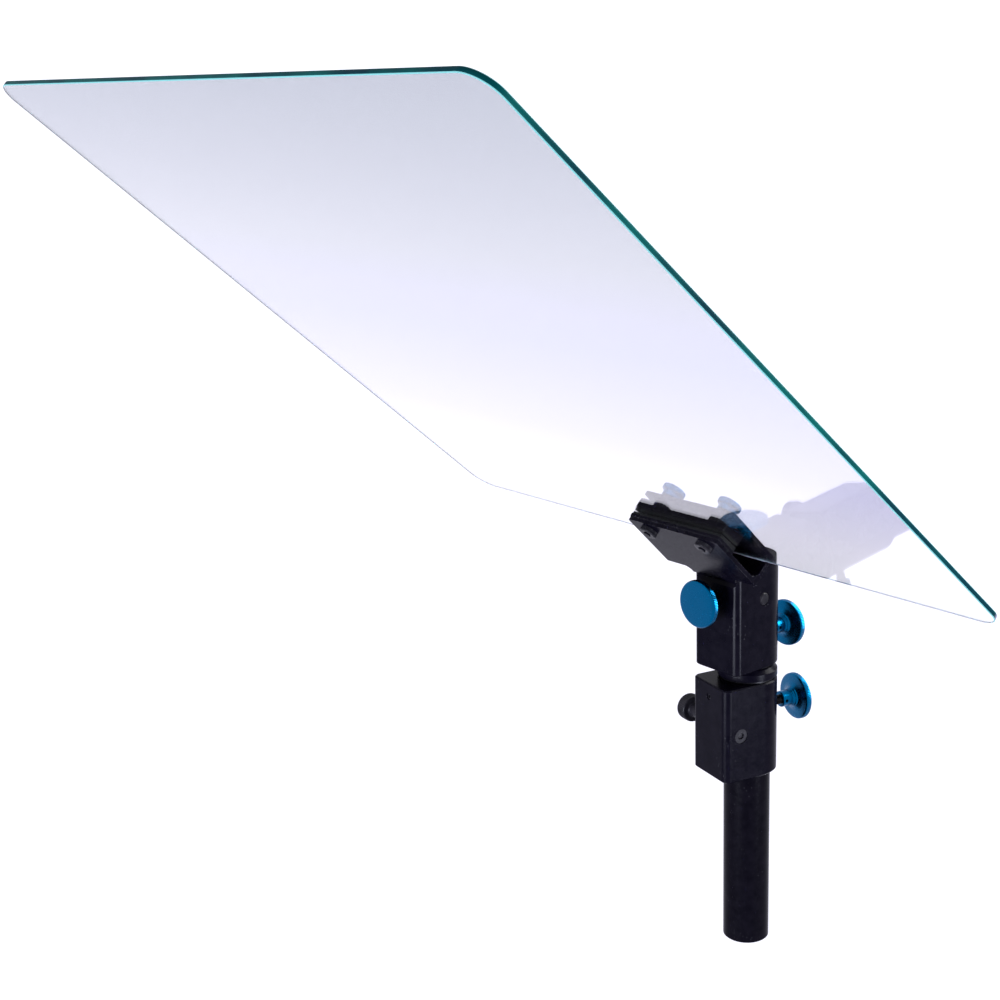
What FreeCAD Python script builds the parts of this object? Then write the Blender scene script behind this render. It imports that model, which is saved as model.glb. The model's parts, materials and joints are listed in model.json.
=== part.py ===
import FreeCAD, Part
import math
import os
import types
import Sketcher

# Glass head of a conference teleprompter: a beam-splitter pane in a clamp head,
# on a tilting and panning block at the top of a round pole.
#
# World frame: +Z up the pole, origin at the centre of the pole's lower end, X along
# the lower edge of the glass, -Y towards the speaker. Sizes in millimetres.
#
# Three more frames are used, each a Placement of the sub-parts that belong to it:
#   turned frame  about the pole, for what sits on the lower block
#   arm frame     origin on the tilt pivot, local Z up the clamp head's arm, local Y
#                 from the head's lower plate to its upper plate
#   glass frame   origin on the middle of the pane's lower edge, local Z up the pane

Vector = FreeCAD.Vector
Rotation = FreeCAD.Rotation
Placement = FreeCAD.Placement

X_AXIS = Vector(1, 0, 0)
Y_AXIS = Vector(0, 1, 0)
Z_AXIS = Vector(0, 0, 1)

DIMENSIONS = [
    # shared by several pieces
    ("fine_bevel", 0.4),
    ("small_bevel", 0.5),
    ("bevel", 0.6),
    ("knob_bevel", 0.7),
    ("broad_bevel", 0.8),
    ("running_fit", 0.05),
    ("slip_fit", 0.1),
    ("seat_gap", 0.2),
    ("moving_gap", 0.3),
    ("overrun", 1.0),
    # pole
    ("pole_diameter", 28.6),
    ("pole_wall", 2.0),
    ("pole_top", 150.0),
    ("pole_seat_relief", 0.3),
    # D-section of both blocks, with the round back centred on the pole
    ("block_width", 36.2),
    ("block_front", 28.2),
    ("block_corner", 4.5),
    ("block_bevel", 0.8),
    # lower block
    ("lower_bottom", 115.1),
    ("lower_top", 174.8),
    ("lower_turn", -11.8),
    ("radial_hole_start", 8.0),
    ("bushing_wall", 1.25),
    ("bushing_lip", 1.4),
    ("bushing_depth", 6.0),
    # cotter clamp on the pole
    ("cotter_setback", 16.6),
    ("cotter_level", 144.3),
    ("cotter_diameter", 9.0),
    ("cotter_screw_diameter", 4.0),
    ("cotter_neck_diameter", 9.0),
    ("cotter_head_diameter", 17.0),
    ("cotter_head_start", 15.0),
    ("cotter_head_end", 23.0),
    ("cotter_washer_diameter", 12.0),
    ("cotter_washer_thickness", 1.2),
    ("cotter_barrel_gap", 2.0),
    ("cotter_barrel_recess", 0.5),
    ("cotter_tip_recess", 1.0),
    # spigot between the blocks
    ("spigot_diameter", 22.0),
    ("spigot_bottom", 150.9),
    ("spigot_top", 212.0),
    ("groove_diameter", 20.0),
    ("flange_diameter", 36.4),
    ("flange_bottom", 176.4),
    ("flange_top", 183.2),
    ("flange_bevel", 2.5),
    ("lower_washer_diameter", 33.0),
    ("upper_washer_diameter", 30.0),
    ("washer_thickness", 1.3),
    ("spigot_end_bevel", 1.0),
    ("spigot_end_gap", 0.6),
    ("spigot_lock_level", 153.9),
    ("lock_groove_above", 3.3),
    ("pan_groove_width", 8.4),
    ("lift_groove_width", 4.2),
    ("lift_groove_depth", 0.8),
    ("anti_lift_level", 166.3),
    ("anti_lift_diameter", 4.0),
    ("anti_lift_recess", 0.5),
    ("anti_lift_bevel", 0.3),
    ("anti_lift_shoulder", 11.5),
    ("anti_lift_dog_diameter", 2.6),
    ("anti_lift_dog_end", 9.7),
    ("anti_lift_socket", 2.2),
    ("anti_lift_socket_depth", 4.0),
    # upper block
    ("upper_bottom", 184.9),
    ("pan_lock_level", 200.7),
    ("pivot_setback", 5.0),
    ("pivot_level", 229.0),
    ("tilt_lock_level", 230.0),
    ("knuckle_radius", 25.6),
    ("knuckle_waste", 6.0),
    ("slot_width", 16.6),
    ("slot_reach", 40.0),
    ("tongue_gap", 0.6),
    ("eye_radius", 12.0),
    ("eye_clearance", 0.5),
    ("pivot_diameter", 8.0),
    ("pivot_head_diameter", 13.2),
    ("pivot_head_height", 5.0),
    ("pivot_head_recess", 0.2),
    ("pivot_end_proud", 0.4),
    ("pivot_fit", 0.03),
    ("pivot_socket", 6.9),
    ("pivot_socket_depth", 6.0),
    # lock knobs
    ("lock_knob_diameter", 29.0),
    ("lock_knob_rim", 4.1),
    ("lock_hub_length", 10.5),
    ("lock_hub_diameter", 10.0),
    ("lock_cone_length", 2.6),
    ("lock_cone_rise", 1.4),
    ("lock_step_length", 0.8),
    ("lock_step_rise", 4.0),
    ("lock_stud_diameter", 6.0),
    ("tilt_knob_reach", 15.6),
    ("pan_knob_reach", 18.4),
    ("spigot_knob_reach", 20.8),
    ("stud_recess", 0.4),
    ("tip_length", 2.5),
    ("tip_clearance", 0.3),
    # tilting arm and clamp head, in the arm frame
    ("arm_angle", 45.0),
    ("tongue_width", 14.0),
    ("tongue_below", 3.8),
    ("tongue_above", 9.0),
    ("tilt_washer_diameter", 20.0),
    ("tilt_washer_thickness", 1.0),
    ("tilt_washer_fit", 0.08),
    ("head_width", 72.0),
    ("head_below", 6.3),
    ("head_above", 17.0),
    ("head_start", 31.8),
    ("head_end", 77.6),
    ("plate", 2.5),
    ("head_fillet", 6.0),
    ("neck_start", 26.0),
    ("neck_fillet", 4.0),
    ("mouth_fillet", 1.5),
    ("root_fillet", 1.2),
    ("jaw_depth", 16.0),
    ("lower_jaw_thickness", 2.2),
    ("upper_jaw_bottom", 5.6),
    ("upper_jaw_thickness", 6.0),
    ("pad_inset", 0.4),
    ("clamp_spacing", 45.0),
    ("clamp_setback", 7.0),
    ("clamp_stud_diameter", 6.0),
    ("clamp_head_diameter", 14.5),
    ("clamp_head_rim", 3.2),
    ("clamp_hub_diameter", 11.0),
    ("clamp_hub_length", 3.4),
    ("clamp_head_gap", 1.0),
    ("clamp_hole_depth", 2.8),
    ("clamp_tip_depth", 2.5),
    ("bush_wall", 1.2),
    ("bush_flange_width", 1.0),
    ("bush_flange_thickness", 0.9),
    ("jaw_stud_diameter", 4.0),
    ("jaw_stud_proud", 0.8),
    ("jaw_nut_diameter", 10.6),
    ("jaw_nut_thickness", 3.2),
    ("tongue_screw_diameter", 4.0),
    ("tongue_screw_length", 12.0),
    ("tongue_screw_head_diameter", 6.8),
    ("tongue_screw_head_height", 4.0),
    ("tongue_screw_socket", 3.5),
    ("tongue_screw_socket_depth", 4.4),
    ("tongue_screw_spacing", 7.8),
    # glass
    ("glass_width", 415.0),
    ("glass_length", 415.0),
    ("glass_thickness", 3.0),
    ("glass_corner", 14.0),
    ("glass_arris", 0.4),
    ("glass_angle", 49.0),
    ("glass_edge_height", 1.7),
    ("glass_edge_along", 51.2),
]

doc = FreeCAD.newDocument("TeleprompterHead")
sheet = doc.addObject("Spreadsheet::Sheet", "Dims")
for row, (name, value) in enumerate(DIMENSIONS, start=1):
    sheet.set("A%d" % row, name)
    sheet.set("B%d" % row, str(value))
    sheet.setAlias("B%d" % row, name)
doc.recompute()


# ---------------------------------------------------------------- helpers

class Length:
    """A number that remembers the sheet expression it came from."""

    def __init__(self, value, text=None):
        self.value = float(value)
        self.text = text or "%.6f" % float(value)

    def combined(self, other, symbol, value):
        return Length(value, "(%s %s %s)" % (self.text, symbol, other.text))

    def __add__(self, other):
        other = as_length(other)
        return self.combined(other, "+", self.value + other.value)

    def __sub__(self, other):
        other = as_length(other)
        return self.combined(other, "-", self.value - other.value)

    def __mul__(self, other):
        other = as_length(other)
        return self.combined(other, "*", self.value * other.value)

    def __truediv__(self, other):
        other = as_length(other)
        return self.combined(other, "/", self.value / other.value)

    def __neg__(self):
        return as_length(0) - self

    def __radd__(self, other):
        return as_length(other) + self

    def __rsub__(self, other):
        return as_length(other) - self

    def __rmul__(self, other):
        return as_length(other) * self


def as_length(item):
    return item if isinstance(item, Length) else Length(item)


def size(item):
    return as_length(item).value


def tangent(angle):
    return Length(math.tan(math.radians(angle.value)), "tan(%s)" % angle.text)


def cosine(angle):
    return Length(math.cos(math.radians(angle.value)), "cos(%s)" % angle.text)


dim = types.SimpleNamespace(**{
    name: Length(value, "Dims." + name) for name, value in DIMENSIONS
})


def drive(item, name, length):
    """Binds one property of an object to the sheet."""
    item.setExpression(name, as_length(length).text)


ORIGIN = (-1, 1)


def new_body(label, placement=None):
    body = doc.addObject("PartDesign::Body", label)
    body.Label = label
    if placement is not None:
        body.Placement = placement
    return body


def new_sketch(body, plane, offset=(0, 0, 0)):
    """A sketch on one of the body's own origin planes, moved by bound offsets."""
    sketch = body.newObject("Sketcher::SketchObject", body.Label + "_sketch")
    base = [item for item in body.Origin.OriginFeatures if item.Role == plane][0]
    sketch.AttachmentSupport = [(base, "")]
    sketch.MapMode = "FlatFace"
    for axis, length in zip("xyz", offset):
        if isinstance(length, Length):
            drive(sketch, "AttachmentOffset.Base." + axis, length)
    return sketch


def bind(sketch, kind, points, length):
    """A driving length over the given points, bound to the sheet."""
    places = [number for point in points for number in point]
    index = sketch.addConstraint(Sketcher.Constraint(kind, *places, size(length)))
    drive(sketch, "Constraints[%d]" % index, length)


def draw_polygon(sketch, points):
    """A closed outline through points given as pairs of lengths."""
    places = [Vector(size(across), size(up), 0) for across, up in points]
    first = sketch.GeometryCount
    count = len(points)
    for index in range(count):
        sketch.addGeometry(Part.LineSegment(places[index], places[(index + 1) % count]))
    for index in range(count):
        following = first + (index + 1) % count
        sketch.addConstraint(Sketcher.Constraint("Coincident", first + index, 2, following, 1))
    for index, (across, up) in enumerate(points):
        bind(sketch, "DistanceX", (ORIGIN, (first + index, 1)), across)
        bind(sketch, "DistanceY", (ORIGIN, (first + index, 1)), up)


def draw_circle(sketch, across, up, radius):
    centre = Vector(size(across), size(up), 0)
    index = sketch.addGeometry(Part.Circle(centre, Z_AXIS, size(radius)))
    bind(sketch, "DistanceX", (ORIGIN, (index, 3)), across)
    bind(sketch, "DistanceY", (ORIGIN, (index, 3)), up)
    bind(sketch, "Radius", ((index,),), radius)


def draw_hexagon(sketch, across_corners):
    angles = [math.radians(60 * step) for step in range(6)]
    radius = across_corners / 2
    draw_polygon(sketch, [(radius * math.cos(angle), radius * math.sin(angle)) for angle in angles])


def pad(body, sketch, length, symmetric=False):
    feature = body.newObject("PartDesign::Pad", body.Label + "_extruded")
    feature.Profile = sketch
    feature.Midplane = symmetric
    drive(feature, "Length", length)
    doc.recompute()
    return feature


def cut_through(body, sketch, width):
    """A pocket of the given width, half on each side of its sketch."""
    before = body.Shape.Volume
    feature = body.newObject("PartDesign::Pocket", body.Label + "_pocket")
    feature.Profile = sketch
    feature.Midplane = True
    drive(feature, "Length", width)
    doc.recompute()
    require_cut(body, before)


def require_cut(body, before):
    if body.Shape.Volume > before - 0.01:
        raise RuntimeError("a cut removed nothing from " + body.Label)


def turned_points(axis, profile):
    """Pairs of (along the axis, radius), as points of a sketch that holds the axis."""
    if axis == "V_Axis":
        return [(radius, along) for along, radius in profile]
    return [(along, radius) for along, radius in profile]


def turn(body, plane, axis, profile, offset=(0, 0, 0)):
    """A turned solid: the profile is pairs of (along the axis, radius)."""
    sketch = new_sketch(body, plane, offset)
    draw_polygon(sketch, turned_points(axis, profile))
    feature = body.newObject("PartDesign::Revolution", body.Label + "_turned")
    feature.Profile = sketch
    feature.ReferenceAxis = (sketch, [axis])
    feature.Angle = 360
    doc.recompute()
    return feature


def bore(body, plane, axis, profile, offset=(0, 0, 0)):
    """A turned cut: holes, counterbores and grooves."""
    before = body.Shape.Volume
    sketch = new_sketch(body, plane, offset)
    draw_polygon(sketch, turned_points(axis, profile))
    feature = body.newObject("PartDesign::Groove", body.Label + "_bore")
    feature.Profile = sketch
    feature.ReferenceAxis = (sketch, [axis])
    feature.Angle = 360
    doc.recompute()
    require_cut(body, before)


def round_bore(body, plane, axis, start, end, radius, offset):
    """A plain hole from start to end along its axis."""
    profile = [(start, 0), (end, 0), (end, radius), (start, radius)]
    bore(body, plane, axis, profile, offset)


def edges_where(shape, wanted):
    return ["Edge%d" % (index + 1) for index, edge in enumerate(shape.Edges) if wanted(edge)]


def close(value, target):
    return abs(value - target) < 0.01


def along(edge, direction):
    if not isinstance(edge.Curve, Part.Line):
        return False
    return abs(edge.Curve.Direction.dot(direction)) > 0.999


def dress(body, kind, wanted, amount):
    """A fillet or chamfer on the body's edges that the test picks."""
    base = body.Tip
    names = edges_where(base.Shape, wanted)
    if not names:
        raise RuntimeError("no edges to dress on " + body.Label)
    feature = body.newObject("PartDesign::" + kind, body.Label + "_" + kind.lower())
    feature.Base = (base, names)
    drive(feature, "Radius" if kind == "Fillet" else "Size", amount)
    doc.recompute()


def group(label, members):
    """Several like solids that share one sub-part."""
    compound = doc.addObject("Part::Compound", label)
    compound.Label = label
    compound.Links = members
    doc.recompute()
    return compound


# ---------------------------------------------------------------- frames

def turned_frame():
    return Placement(Vector(0, 0, 0), Rotation(Z_AXIS, size(dim.lower_turn)))


def arm_frame():
    pivot = Vector(0, -size(dim.pivot_setback), size(dim.pivot_level))
    return Placement(pivot, Rotation(X_AXIS, size(dim.arm_angle)))


def glass_frame():
    edge = Vector(0, size(dim.glass_edge_height), size(dim.glass_edge_along))
    place = arm_frame().multVec(edge)
    return Placement(place, Rotation(X_AXIS, size(dim.glass_angle)))


POLE_RADIUS = dim.pole_diameter / 2
SEAT_RADIUS = dim.pole_diameter / 2 - dim.pole_seat_relief
SPIGOT_RADIUS = dim.spigot_diameter / 2
SPIGOT_BORE = dim.spigot_diameter / 2 + dim.running_fit
GROOVE_RADIUS = dim.groove_diameter / 2
STUD_RADIUS = dim.lock_stud_diameter / 2
STUD_HOLE = dim.lock_stud_diameter / 2 + dim.running_fit
BACK = dim.block_width / 2
PAST_BACK = dim.block_width / 2 + dim.overrun
PAST_FRONT = -(dim.block_front + dim.overrun)


# ---------------------------------------------------------------- pole and blocks

def make_pole():
    body = new_body("pole_tube")
    outer = POLE_RADIUS
    inner = POLE_RADIUS - dim.pole_wall
    shoulder = dim.lower_bottom - dim.bushing_lip
    profile = [
        (0, inner), (0, outer - dim.bevel), (dim.bevel, outer), (shoulder, outer),
        (shoulder, SEAT_RADIUS), (dim.pole_top, SEAT_RADIUS), (dim.pole_top, inner),
    ]
    turn(body, "XZ_Plane", "V_Axis", profile)


def make_bushing():
    """Nylon ring between the pole and the mouth of the lower block."""
    body = new_body("pole_bushing")
    inner = SEAT_RADIUS + dim.running_fit
    outer = POLE_RADIUS + dim.bushing_wall
    low = dim.lower_bottom - dim.bushing_lip
    high = dim.lower_bottom + dim.bushing_depth
    profile = [(low, inner), (low, outer), (high, outer), (high, inner)]
    turn(body, "XZ_Plane", "V_Axis", profile)


def make_d_block(label, bottom, top, placement=None):
    """A D-section block: flat front, flat sides and a half-round back."""
    body = new_body(label, placement)
    sketch = new_sketch(body, "XY_Plane", (0, 0, bottom))
    half = size(dim.block_width / 2)
    front = size(dim.block_front)
    sketch.addGeometry(Part.LineSegment(Vector(-half, -front, 0), Vector(half, -front, 0)))
    sketch.addGeometry(Part.LineSegment(Vector(half, -front, 0), Vector(half, 0, 0)))
    sketch.addGeometry(Part.ArcOfCircle(Part.Circle(Vector(0, 0, 0), Z_AXIS, half), 0, math.pi))
    sketch.addGeometry(Part.LineSegment(Vector(-half, 0, 0), Vector(-half, -front, 0)))
    for index in range(4):
        sketch.addConstraint(Sketcher.Constraint("Coincident", index, 2, (index + 1) % 4, 1))
    sketch.addConstraint(Sketcher.Constraint("Horizontal", 0))
    sketch.addConstraint(Sketcher.Constraint("Vertical", 1))
    sketch.addConstraint(Sketcher.Constraint("Vertical", 3))
    sketch.addConstraint(Sketcher.Constraint("Coincident", 2, 3, -1, 1))
    sketch.addConstraint(Sketcher.Constraint("PointOnObject", 2, 1, -1))
    sketch.addConstraint(Sketcher.Constraint("PointOnObject", 2, 2, -1))
    bind(sketch, "Radius", ((2,),), dim.block_width / 2)
    bind(sketch, "DistanceY", (ORIGIN, (0, 1)), -dim.block_front)
    pad(body, sketch, top - bottom)

    def front_corner(edge):
        return along(edge, Z_AXIS) and edge.CenterOfMass.y < -front + 0.1

    dress(body, "Fillet", front_corner, dim.block_corner)
    return body


def bevel_rims(body, *levels):
    """Small bevels round the block's outline at the given levels."""
    def on_rim(edge):
        box = edge.BoundBox
        return box.ZLength < 0.01 and any(close(box.ZMin, level) for level in levels)

    dress(body, "Chamfer", on_rim, dim.block_bevel)


def make_lower_block():
    body = make_d_block("lower_block", dim.lower_bottom, dim.lower_top, turned_frame())
    bevel_rims(body, size(dim.lower_bottom), size(dim.lower_top))
    below = dim.lower_bottom - dim.overrun
    mouth = dim.lower_bottom + dim.bushing_depth
    mouth_radius = POLE_RADIUS + dim.bushing_wall + dim.running_fit
    pole_radius = SEAT_RADIUS + dim.running_fit
    stop = dim.pole_top + dim.seat_gap
    above = dim.lower_top + dim.overrun
    profile = [
        (below, 0), (below, mouth_radius), (mouth, mouth_radius), (mouth, pole_radius),
        (stop, pole_radius), (stop, SPIGOT_BORE), (above, SPIGOT_BORE), (above, 0),
    ]
    bore(body, "XZ_Plane", "V_Axis", profile)
    cotter_place = (0, dim.cotter_level, dim.cotter_setback)
    cotter_radius = dim.cotter_diameter / 2 + dim.running_fit
    round_bore(body, "XZ_Plane", "H_Axis", -PAST_BACK, PAST_BACK, cotter_radius, cotter_place)
    lock_place = (0, 0, dim.spigot_lock_level)
    round_bore(body, "XY_Plane", "V_Axis", dim.radial_hole_start, PAST_BACK, STUD_HOLE,
               lock_place)
    lift_place = (0, 0, dim.anti_lift_level)
    lift_radius = dim.anti_lift_diameter / 2
    round_bore(body, "XY_Plane", "V_Axis", PAST_FRONT, -dim.radial_hole_start, lift_radius,
               lift_place)


def make_upper_block():
    body = make_d_block("upper_block", dim.upper_bottom, dim.pivot_level + dim.knuckle_radius)
    bevel_rims(body, size(dim.upper_bottom))
    knuckle = new_sketch(body, "YZ_Plane", (-dim.pivot_setback, dim.pivot_level, 0))
    reach = dim.knuckle_radius + dim.knuckle_waste
    radius = size(dim.knuckle_radius)
    circle = Part.Circle(Vector(0, 0, 0), Z_AXIS, radius)
    far = size(reach)
    knuckle.addGeometry(Part.ArcOfCircle(circle, math.pi / 2, math.pi))
    corners = [Vector(-radius, 0, 0), Vector(-far, 0, 0), Vector(-far, far, 0),
               Vector(0, far, 0), Vector(0, radius, 0)]
    for start, end in zip(corners, corners[1:]):
        knuckle.addGeometry(Part.LineSegment(start, end))
    ends = [(0, 2), (1, 2), (2, 2), (3, 2), (4, 2)]
    starts = [(1, 1), (2, 1), (3, 1), (4, 1), (0, 1)]
    for end, start in zip(ends, starts):
        knuckle.addConstraint(Sketcher.Constraint("Coincident", *end, *start))
    knuckle.addConstraint(Sketcher.Constraint("Coincident", 0, 3, -1, 1))
    knuckle.addConstraint(Sketcher.Constraint("PointOnObject", 0, 1, -2))
    knuckle.addConstraint(Sketcher.Constraint("PointOnObject", 0, 2, -1))
    knuckle.addConstraint(Sketcher.Constraint("PointOnObject", 1, 2, -1))
    knuckle.addConstraint(Sketcher.Constraint("PointOnObject", 3, 2, -2))
    knuckle.addConstraint(Sketcher.Constraint("Vertical", 2))
    knuckle.addConstraint(Sketcher.Constraint("Horizontal", 3))
    bind(knuckle, "Radius", ((0,),), dim.knuckle_radius)
    bind(knuckle, "DistanceX", (ORIGIN, (1, 2)), -reach)
    bind(knuckle, "DistanceY", (ORIGIN, (3, 1)), reach)
    cut_through(body, knuckle, PAST_BACK * 2)

    # slot for the tongue: round about the pivot, open upwards and to the front, down
    # to just under the tongue when the arm leans furthest forward
    eye = new_sketch(body, "YZ_Plane", (-dim.pivot_setback, dim.pivot_level, 0))
    draw_circle(eye, 0, 0, dim.eye_radius + dim.eye_clearance)
    cut_through(body, eye, dim.slot_width)
    wall = dim.eye_radius + dim.eye_clearance
    under = (dim.tongue_below + dim.tongue_gap) / cosine(dim.arm_angle)
    front_foot = wall - under
    front_top = dim.slot_reach - under
    opening = new_sketch(body, "YZ_Plane", (-dim.pivot_setback, dim.pivot_level, 0))
    draw_polygon(opening, [
        (wall, 0), (wall, dim.slot_reach), (-dim.slot_reach, dim.slot_reach),
        (-dim.slot_reach, front_top), (-wall, front_foot), (-wall, 0),
    ])
    cut_through(body, opening, dim.slot_width)

    spigot_end = dim.spigot_top + dim.spigot_end_gap
    round_bore(body, "XZ_Plane", "V_Axis", dim.upper_bottom - dim.overrun, spigot_end,
               SPIGOT_BORE, (0, 0, 0))
    pan_place = (0, 0, dim.pan_lock_level)
    round_bore(body, "XY_Plane", "V_Axis", dim.radial_hole_start, PAST_BACK, STUD_HOLE,
               pan_place)
    tilt_place = (0, 0, dim.tilt_lock_level)
    round_bore(body, "XY_Plane", "V_Axis", PAST_FRONT, -dim.pivot_setback - dim.eye_radius,
               STUD_HOLE, tilt_place)
    seat = -(dim.block_width / 2 - dim.pivot_head_height - dim.pivot_head_recess)
    pivot_radius = dim.pivot_diameter / 2
    head_radius = dim.pivot_head_diameter / 2 + dim.seat_gap
    profile = [
        (-PAST_BACK, 0), (-PAST_BACK, head_radius), (seat, head_radius),
        (seat, pivot_radius), (PAST_BACK, pivot_radius), (PAST_BACK, 0),
    ]
    bore(body, "XZ_Plane", "H_Axis", profile, (0, dim.pivot_level, dim.pivot_setback))


def make_spigot():
    """Double-ended spigot with a bevelled flange between the two blocks."""
    body = new_body("spigot")
    flange = dim.flange_diameter / 2
    lower_undercut = dim.spigot_lock_level + dim.lock_groove_above
    lift_low = dim.anti_lift_level - dim.lift_groove_width / 2
    lift_high = dim.anti_lift_level + dim.lift_groove_width / 2
    lift_radius = GROOVE_RADIUS - dim.lift_groove_depth
    pan_low = dim.pan_lock_level - dim.pan_groove_width / 2
    pan_high = dim.pan_lock_level + dim.pan_groove_width / 2
    profile = [
        (dim.spigot_bottom, 0),
        (dim.spigot_bottom, GROOVE_RADIUS - dim.bevel),
        (dim.spigot_bottom + dim.bevel, GROOVE_RADIUS),
        (lower_undercut, GROOVE_RADIUS), (lower_undercut, SPIGOT_RADIUS),
        (lift_low, SPIGOT_RADIUS), (lift_low, lift_radius),
        (lift_high, lift_radius), (lift_high, SPIGOT_RADIUS),
        (dim.flange_bottom, SPIGOT_RADIUS), (dim.flange_bottom, flange),
        (dim.flange_top - dim.flange_bevel, flange),
        (dim.flange_top, flange - dim.flange_bevel),
        (dim.flange_top, SPIGOT_RADIUS),
        (pan_low, SPIGOT_RADIUS), (pan_low, GROOVE_RADIUS),
        (pan_high, GROOVE_RADIUS), (pan_high, SPIGOT_RADIUS),
        (dim.spigot_top - dim.spigot_end_bevel, SPIGOT_RADIUS),
        (dim.spigot_top, SPIGOT_RADIUS - dim.spigot_end_bevel),
        (dim.spigot_top, 0),
    ]
    turn(body, "XZ_Plane", "V_Axis", profile)


def make_washer(label, inner, outer, thickness, placement):
    """A flat ring standing on the local XY plane."""
    body = new_body(label, placement)
    sketch = new_sketch(body, "XY_Plane")
    draw_circle(sketch, 0, 0, outer)
    draw_circle(sketch, 0, 0, inner)
    pad(body, sketch, thickness)


def make_thrust_washers():
    inner = SPIGOT_RADIUS + dim.slip_fit
    low = Placement(Vector(0, 0, size(dim.lower_top)), Rotation())
    high = Placement(Vector(0, 0, size(dim.flange_top)), Rotation())
    make_washer("lower_thrust_washer", inner, dim.lower_washer_diameter / 2,
                dim.washer_thickness, low)
    make_washer("upper_thrust_washer", inner, dim.upper_washer_diameter / 2,
                dim.washer_thickness, high)


# ---------------------------------------------------------------- cotter clamp

def make_cotter_barrel(label, start, end):
    """A barrel across the block, scalloped where the pole passes it."""
    body = new_body(label, turned_frame())
    place = (0, dim.cotter_level, dim.cotter_setback)
    outer = dim.cotter_diameter / 2
    hole = dim.cotter_screw_diameter / 2
    turn(body, "XZ_Plane", "H_Axis", [(start, hole), (start, outer), (end, outer), (end, hole)], place)
    scallop = SEAT_RADIUS + dim.slip_fit
    low = dim.cotter_level - dim.cotter_diameter
    high = dim.cotter_level + dim.cotter_diameter
    bore(body, "XZ_Plane", "V_Axis", [(low, 0), (low, scallop), (high, scallop), (high, 0)])


def make_cotter():
    inner_end = dim.cotter_barrel_gap / 2
    outer_end = dim.block_width / 2 - dim.cotter_barrel_recess
    make_cotter_barrel("cotter_barrel_left", -outer_end, -inner_end)
    make_cotter_barrel("cotter_barrel_right", inner_end, outer_end)

    face = Vector(-size(BACK + dim.moving_gap), -size(dim.cotter_setback), size(dim.cotter_level))
    outward = Placement(face, Rotation(Y_AXIS, -90))
    place = turned_frame().multiply(outward)
    hole = dim.cotter_screw_diameter / 2 + dim.running_fit
    make_washer("cotter_washer", hole, dim.cotter_washer_diameter / 2,
                dim.cotter_washer_thickness, place)

    body = new_body("cotter_screw", place)
    shaft = dim.cotter_screw_diameter / 2 - dim.running_fit
    neck = dim.cotter_neck_diameter / 2
    head = dim.cotter_head_diameter / 2
    shoulder = dim.cotter_washer_thickness + dim.moving_gap
    tip = -(dim.block_width - dim.cotter_tip_recess)
    head_start = dim.cotter_head_start - dim.moving_gap
    head_end = dim.cotter_head_end - dim.moving_gap
    profile = [
        (tip, 0), (tip, shaft - dim.small_bevel), (tip + dim.small_bevel, shaft),
        (shoulder, shaft), (shoulder, neck), (head_start, neck),
        (head_start, head - dim.broad_bevel), (head_start + dim.broad_bevel, head),
        (head_end - dim.broad_bevel, head), (head_end, head - dim.broad_bevel), (head_end, 0),
    ]
    turn(body, "XZ_Plane", "V_Axis", profile)


def make_anti_lift_screw():
    """Dog-point grub screw in the front of the lower block, with a hexagon socket."""
    body = new_body("anti_lift_screw", turned_frame())
    place = (0, 0, dim.anti_lift_level)
    radius = dim.anti_lift_diameter / 2 - dim.running_fit
    outer = -(dim.block_front - dim.anti_lift_recess)
    shoulder = -dim.anti_lift_shoulder
    dog = dim.anti_lift_dog_diameter / 2
    dog_end = -dim.anti_lift_dog_end
    profile = [
        (outer, 0), (outer, radius - dim.anti_lift_bevel),
        (outer + dim.anti_lift_bevel, radius), (shoulder, radius), (shoulder, dog),
        (dog_end, dog), (dog_end, 0),
    ]
    turn(body, "XY_Plane", "V_Axis", profile, place)
    sketch = new_sketch(body, "XZ_Plane", (0, dim.anti_lift_level, -outer))
    draw_hexagon(sketch, dim.anti_lift_socket)
    cut_through(body, sketch, dim.anti_lift_socket_depth)


# ---------------------------------------------------------------- lock knobs

def make_lock(prefix, place, reach, tip_end):
    """A lock knob on the local Z axis that leaves the block at local Z = 0.

    reach is the outer face of the knob, tip_end the inner end of the nylon tip."""
    rim = dim.lock_knob_diameter / 2
    hub = dim.lock_hub_diameter / 2
    rim_back = reach - dim.lock_knob_rim
    hub_end = rim_back - dim.lock_hub_length
    knob = new_body(prefix + "_knob", place)
    profile = [
        (hub_end, STUD_RADIUS), (hub_end, hub - dim.bevel), (hub_end + dim.bevel, hub),
        (rim_back - dim.lock_cone_length, hub),
        (rim_back - dim.lock_step_length, hub + dim.lock_cone_rise),
        (rim_back, hub + dim.lock_step_rise), (rim_back, rim - dim.knob_bevel),
        (rim_back + dim.knob_bevel, rim), (reach - dim.knob_bevel, rim),
        (reach, rim - dim.knob_bevel), (reach, STUD_RADIUS),
    ]
    turn(knob, "XZ_Plane", "V_Axis", profile)

    stud = new_body(prefix + "_stud", place)
    shank_end = tip_end + dim.tip_length
    profile = [
        (shank_end, 0), (shank_end, STUD_RADIUS - dim.small_bevel),
        (shank_end + dim.small_bevel, STUD_RADIUS),
        (reach - dim.stud_recess, STUD_RADIUS), (reach - dim.stud_recess, 0),
    ]
    turn(stud, "XZ_Plane", "V_Axis", profile)

    tip = new_body(prefix + "_tip", place)
    tip_radius = STUD_RADIUS - dim.tip_clearance
    top = shank_end - dim.moving_gap
    profile = [
        (tip_end, 0), (tip_end, tip_radius - dim.fine_bevel),
        (tip_end + dim.fine_bevel, tip_radius),
        (top, tip_radius), (top, 0),
    ]
    turn(tip, "XZ_Plane", "V_Axis", profile)


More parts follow.
